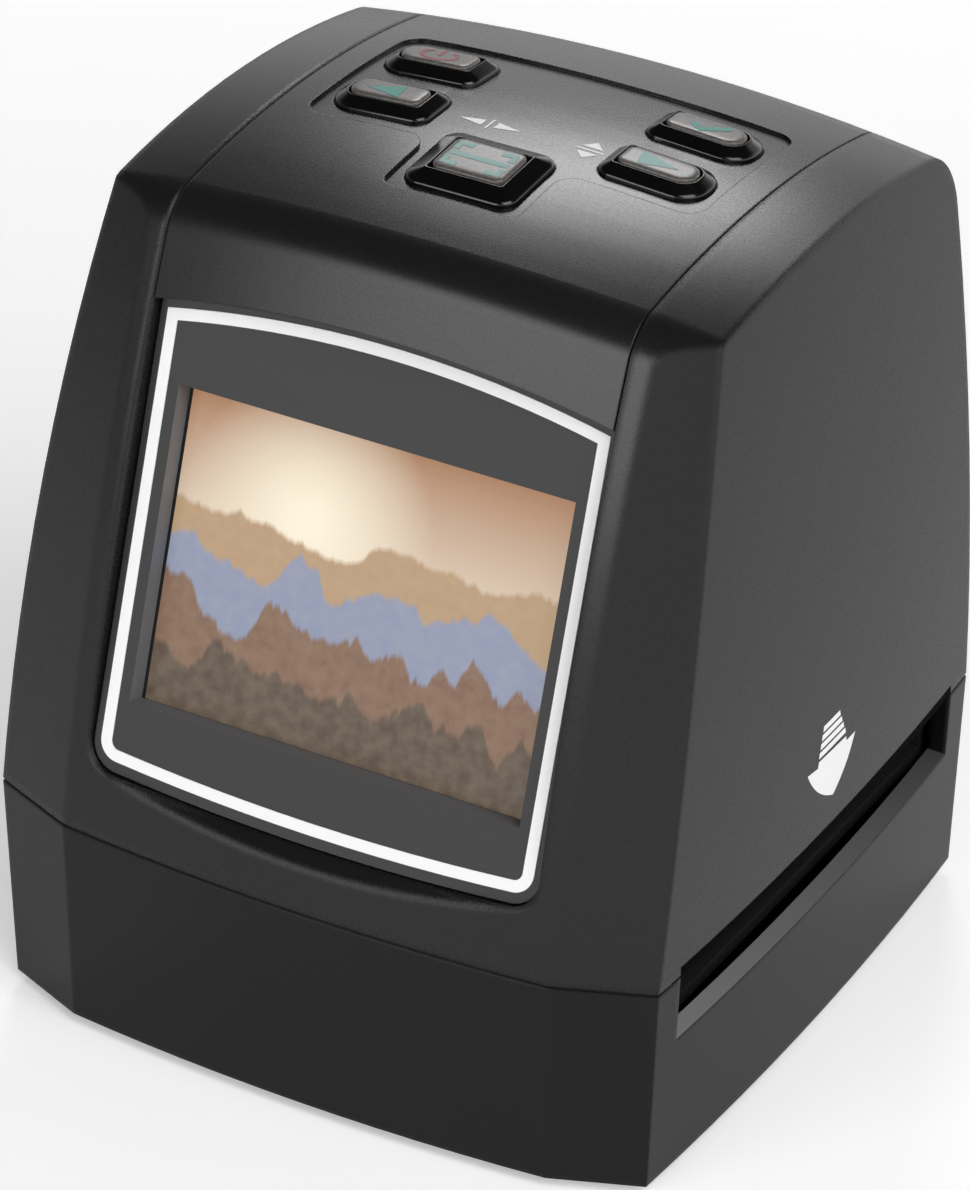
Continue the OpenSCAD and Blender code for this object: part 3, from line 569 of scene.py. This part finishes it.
# %% [markdown]
# Three white signs are printed on the housing: one for mirroring and one for
# flipping a picture beside the scan key, and an arrow above the slot that shows
# which way up the film goes in.

# %% Signs on the cover and the side
x_axis, y_axis, z_axis = Vector((1, 0, 0)), Vector((0, 1, 0)), Vector((0, 0, 1))
CROWN_H, HALF_WIDTH = 102, 43.5
MIRROR_LINE, FLIP_LINE = 0.25, 0.3
crown = Vector((0, 0, CROWN_H)) * MM
mirror_marks = [scaled([(-8.4, 8.7), (-5.2, 9.4), (-5.2, 8.0)]),
                scaled([(-3.6, 9.4), (-0.4, 8.7), (-3.6, 8.0)]),
                scaled(band([(-4.4, 9.8), (-4.4, 7.6)], MIRROR_LINE))]
flip_marks = [scaled([(6.7, 9.6), (9.3, 9.6), (8.0, 11.0)]),
              scaled([(6.7, 8.4), (8.0, 7.0), (9.3, 8.4)]),
              scaled(band([(6.3, 9.0), (9.7, 9.0)], FLIP_LINE))]
cover = nodes["top_cover"]
print_on("mirror_mark", cover, "scanner", mirror_marks, crown, x_axis, y_axis, white_ink)
print_on("flip_mark", cover, "scanner", flip_marks, crown, x_axis, y_axis, white_ink)

# %% Film arrow
# Heights are above the table and lengths from the middle of the side.
side = Vector((HALF_WIDTH, 0, 0)) * MM
BAR_H, BAR_HEIGHTS = 0.72, (38.75, 39.75, 40.75, 41.75)
left_barb, tip, right_barb = (-2.6, 38.0), (3.7, 32.2), (9.1, 37.6)
neck = [(6.9, 37.6), (6.8, 38.2), (0.1, 38.4), (-0.1, 37.7)]
head = bowed(left_barb, tip, 0.8) + bowed(tip, right_barb, 0.5)[1:] + neck
bars = [[(0.15 + 0.32 * i, z), (6.7 - 0.45 * i, z), (6.55 - 0.45 * i, z + BAR_H), (0.3 + 0.32 * i, z + BAR_H)]
        for i, z in enumerate(BAR_HEIGHTS)]
arrow = [scaled(outline) for outline in [head] + bars]
print_on("film_arrow", nodes["upper_housing"], "scanner", arrow, side, y_axis, z_axis, white_ink)

# %% [markdown]
# The slot's sill is a satin strip, 2.2 mm deep, that follows the bulge of the side.
# Its grey is painted light: lighter than the housing, palest at the slot's front end
# and darker towards its back end.
# The side's surface is found by shooting rays at it just under the sill, so the
# strip's outer edge lies on it. A black strip along the slot's top edge is a painted
# shadow that makes the opening look 1 mm taller.

# %% Slot sill and painted slot shadow
SLOT_Y0, SLOT_Y1 = -30.25, 36.15
JOINT_Z, SILL_Z, SILL_DEPTH, SHADOW_STRIP_H = 27.6, 19.0, 2.2, 1.0
SILL_FOOT, SILL_OUTER, SILL_INNER, SILL_BACK = -0.1, 0.05, 0.12, 0.03
SILL_STEPS = 24


def side_x(node, y, z):
    tree = surface_tree(nodes[node])
    return tree.ray_cast(Vector((60, y, z)) * MM, -x_axis)[0].x / MM


# The sill's grey is painted light, pale at the slot's front end and darker at its back end.
def painted_light_sill_abs():
    m = new_material("sill_abs_painted_light")
    place = add(m, "TexCoord").outputs["Object"]
    along = add(m, "SeparateXYZ", links={"Vector": place}).outputs["Y"]
    painted_light_fall = add(m, "MapRange", {"From Min": SLOT_Y0 * MM, "From Max": SLOT_Y1 * MM}, {"Value": along})
    colour = add(m, "Mix", {"A": linear("#8e8e90"), "B": linear("#4a4a4c")},
                 {"Factor": painted_light_fall.outputs[0]}, data_type="RGBA")
    grain = add(m, "TexNoise", {"Scale": 1 / GRAIN, "Detail": 2.0}, {"Vector": place})
    bump = add(m, "Bump", {"Strength": 0.3, "Distance": PIT_DEPTH}, {"Height": grain.outputs["Fac"]})
    shader = add(m, "BsdfPrincipled", {"Roughness": 0.5, "IOR": 1.45},
                 {"Base Color": colour.outputs["Result"], "Normal": bump.outputs[0]})
    return finish_material(m, shader)


def flat_shaded(piece):
    for face in piece.data.polygons:
        face.use_smooth = False


sill_abs = painted_light_sill_abs()
for hand, name in ((1, "slot_sill_right"), (-1, "slot_sill_left")):
    rings = []
    for i in range(SILL_STEPS + 1):
        y = SLOT_Y0 + (SLOT_Y1 - SLOT_Y0) * i / SILL_STEPS
        edge = side_x("lower_housing", y, SILL_Z - 0.3) - SILL_BACK
        inner = edge - SILL_DEPTH
        section = [(edge, SILL_FOOT), (edge, SILL_OUTER), (inner, SILL_INNER), (inner, SILL_FOOT)]
        rings.append([Vector((hand * x, y, SILL_Z + z)) * MM for x, z in section[::hand]])
    flat_shaded(loft(name, [rings], sill_abs, "scanner", False))
# A 1 mm strip of black ink along the slot's top edge is a painted shadow that makes the opening look taller.
slot_shadow_ink = ink("painted_slot_shadow", "#050505", ior=1.05)
shadow_strip = [(SLOT_Y0, JOINT_Z), (SLOT_Y1, JOINT_Z), (SLOT_Y1, JOINT_Z + SHADOW_STRIP_H), (SLOT_Y0, JOINT_Z + SHADOW_STRIP_H)]
for hand, name in ((1, "slot_shadow_right"), (-1, "slot_shadow_left")):
    outline = scaled([(hand * y, z) for y, z in shadow_strip][::hand])
    print_on(name, nodes["upper_housing"], "scanner", [outline], side * hand, y_axis * hand, z_axis,
             slot_shadow_ink, step=2 * MM)

# %% [markdown]
# The two housings meet in a fine joint. Along the front a bead of the lower
# housing's own plastic stands in the joint's groove, just under a tenth of a
# millimetre back from the surface, so that only a hair line shows. Rays shot at the housing from
# all round the front give the bead its path.

# %% Bead in the front joint
BEAD_BACK, BEAD_DEPTH, BEAD_LOW, BEAD_TOP = 0.08, 0.7, 0.38, -0.03
FRONT_SPAN = 53
BEAD_LEVEL = JOINT_Z - 0.6


def front_bead(steps=72):
    tree = surface_tree(nodes["lower_housing"])
    rings = []
    for i in range(steps + 1):
        turn = radians(FRONT_SPAN * (2 * i / steps - 1))
        away = Vector((sin(turn), -cos(turn), 0))
        hit = tree.ray_cast(Vector((0, 0, BEAD_LEVEL)) * MM + away * 100 * MM, -away)[0]
        face, heel = hit - away * BEAD_BACK * MM, hit - away * BEAD_DEPTH * MM
        section = [(face, -BEAD_LOW), (face, BEAD_TOP), (heel, BEAD_TOP), (heel, -BEAD_LOW)]
        rings.append([Vector((p.x, p.y, (JOINT_Z + z) * MM)) for p, z in section])
    flat_shaded(loft("front_joint_bead", [rings], base_abs, "scanner", False))


front_bead()

# %% [markdown]
# The table is a pale sheet that fills the view. A product photographer lights
# such a sheet from below as well, so that it comes out white and keeps only the
# object's shadow. A glow that only the camera sees does that: weak near the
# object, so that its shadow stays, and stronger further out, where the lamps fade.

# %% Table
NEAR, FAR = 0.2, 1.2
NEAR_GLOW, FAR_GLOW = 0.3, 0.9


def lit_sheet():
    m = new_material("pale_table")
    path = add(m, "LightPath")
    place = add(m, "TexCoord").outputs["Object"]
    away = add(m, "VectorMath", links={0: place}, operation="LENGTH")
    level = add(m, "MapRange", {"From Min": NEAR, "From Max": FAR, "To Min": NEAR_GLOW, "To Max": FAR_GLOW},
                {"Value": away.outputs["Value"]})
    strength = add(m, "Math", links={0: path.outputs["Is Camera Ray"], 1: level.outputs[0]},
                   operation="MULTIPLY")
    paper = add(m, "BsdfDiffuse", {"Color": linear("#f5f5f5")})
    glow = add(m, "Emission", {"Color": linear("#ffffff")}, {"Strength": strength.outputs[0]})
    both = add(m, "AddShader", links={0: paper.outputs[0], 1: glow.outputs[0]})
    return finish_material(m, both)


bpy.ops.mesh.primitive_plane_add(size=6)
table = bpy.context.object
table.name = "table"
table.data.materials.append(lit_sheet())

# %% [markdown]
# The room is a pale sweep up to eye height that darkens towards the ceiling and
# towards the left. A satin black object shows its room more than its own colour:
# its side mirrors the table, its crown the wall behind, and the shoulder between
# them the dark ceiling, which gives the black band along the top of the front.
# Seen straight by the camera, the room is plain white.

# %% Room
WALL_LIGHT, LEFT_LIGHT, CEILING_LIGHT = 1.42, 0.2, 0.03
WALL_TOP, CEILING_START = radians(12), radians(34)
BRIGHT_SIDE = (0.8, 0.6, 0)


def room(name):
    world = bpy.data.worlds.new(name)
    world.use_nodes = True
    world.node_tree.nodes.clear()
    away = add(world, "TexCoord").outputs["Generated"]
    height = add(world, "SeparateXYZ", links={"Vector": away}).outputs["Z"]
    side_on = add(world, "VectorMath", {1: BRIGHT_SIDE}, {0: away}, operation="DOT_PRODUCT")
    wall = add(world, "MapRange",
               {"From Min": -1.0, "From Max": 0.5, "To Min": LEFT_LIGHT, "To Max": WALL_LIGHT},
               {"Value": side_on.outputs["Value"]})
    fall = add(world, "MapRange",
               {"From Min": sin(WALL_TOP), "From Max": sin(CEILING_START), "To Max": CEILING_LIGHT},
               {"Value": height, "To Min": wall.outputs[0]})
    path = add(world, "LightPath")
    shown = add(world, "Mix", {"B": 1.0}, {"Factor": path.outputs["Is Camera Ray"], "A": fall.outputs[0]},
                data_type="FLOAT")
    light = add(world, "Background", {"Color": linear("#ffffff")}, {"Strength": shown.outputs[0]})
    add(world, "OutputWorld", links={"Surface": light.outputs[0]})
    return world


bpy.context.scene.world = room("studio")

# %% [markdown]
# Three soft boxes do the rest. One stands behind and to the left, low enough to
# lie mirrored in the crown. The key box stands in front and to the right, where
# nothing mirrors it to the camera: it brings the white trim up to white and puts
# a small highlight on the surrounds' corners. A dim one stands in front. A lamp
# is placed by its compass angle from the back and its height angle, all of them at
# one distance, and its power follows from the brightness its face should have.

# %% Soft boxes
MIDDLE = Vector((0, 0, 0.05))
LAMP_DISTANCE = 1.5


def soft_box(name, compass, height, size, brightness):
    data = bpy.data.lights.new(name, "AREA")
    data.shape = "RECTANGLE"
    data.size, data.size_y = size
    data.energy = brightness * pi * size[0] * size[1]
    lamp = bpy.data.objects.new(name, data)
    bpy.context.scene.collection.objects.link(lamp)
    turn, tilt = radians(compass), radians(height)
    towards = Vector((sin(turn) * cos(tilt), cos(turn) * cos(tilt), sin(tilt)))
    lamp.location = MIDDLE + towards * LAMP_DISTANCE
    lamp.rotation_euler = towards.to_track_quat("Z", "Y").to_euler()
    print(name, "at", [round(c, 2) for c in lamp.location], round(data.energy, 1), "W")


soft_box("crown_box", -26, 35, (0.36, 0.36), 9.8)
soft_box("key_box", 118, 45, (1.1, 1.1), 4.0)
soft_box("front_box", -165, 20, (0.95, 0.72), 3.8)

# %% [markdown]
# The camera stands where the photograph's did, worked out by fitting the
# outline, seams and screen to known sizes: a long lens, 0.74 m away, 31 degrees
# up and 30 degrees to the right. The shift keeps the lens axis where it was.

# %% Camera
AZIMUTH, ELEVATION, ROLL = 0.5215635640, 0.5463620063, 0.0076434413
IMAGE_W, IMAGE_H = 970, 1190
FOCAL_PX = 6573.45
AXIS_PX = (452.10, 578.23)
DISTANCE = 735.872 * MM
LOOK_AT = Vector((0, -6.6, 52.4)) * MM
SENSOR = 36.0

back = Vector((sin(AZIMUTH) * cos(ELEVATION), -cos(AZIMUTH) * cos(ELEVATION), sin(ELEVATION)))
level = Vector((cos(AZIMUTH), sin(AZIMUTH), 0))
rise = back.cross(level)
cam_right = cos(ROLL) * level + sin(ROLL) * rise
cam_up = cos(ROLL) * rise - sin(ROLL) * level
camera_data = bpy.data.cameras.new("camera")
camera_data.lens = SENSOR * FOCAL_PX / IMAGE_H
camera_data.sensor_width = SENSOR
camera_data.shift_x = (IMAGE_W / 2 - AXIS_PX[0]) / IMAGE_H
camera_data.shift_y = (AXIS_PX[1] - IMAGE_H / 2) / IMAGE_H
camera = bpy.data.objects.new("camera", camera_data)
bpy.context.scene.collection.objects.link(camera)
spot = LOOK_AT + back * DISTANCE
camera.matrix_world = Matrix(((cam_right.x, cam_up.x, back.x, spot.x),
                              (cam_right.y, cam_up.y, back.y, spot.y),
                              (cam_right.z, cam_up.z, back.z, spot.z),
                              (0, 0, 0, 1)))
bpy.context.scene.camera = camera
bpy.context.scene.view_settings.view_transform = "Standard"
print("Lens", round(camera_data.lens, 1), "mm")
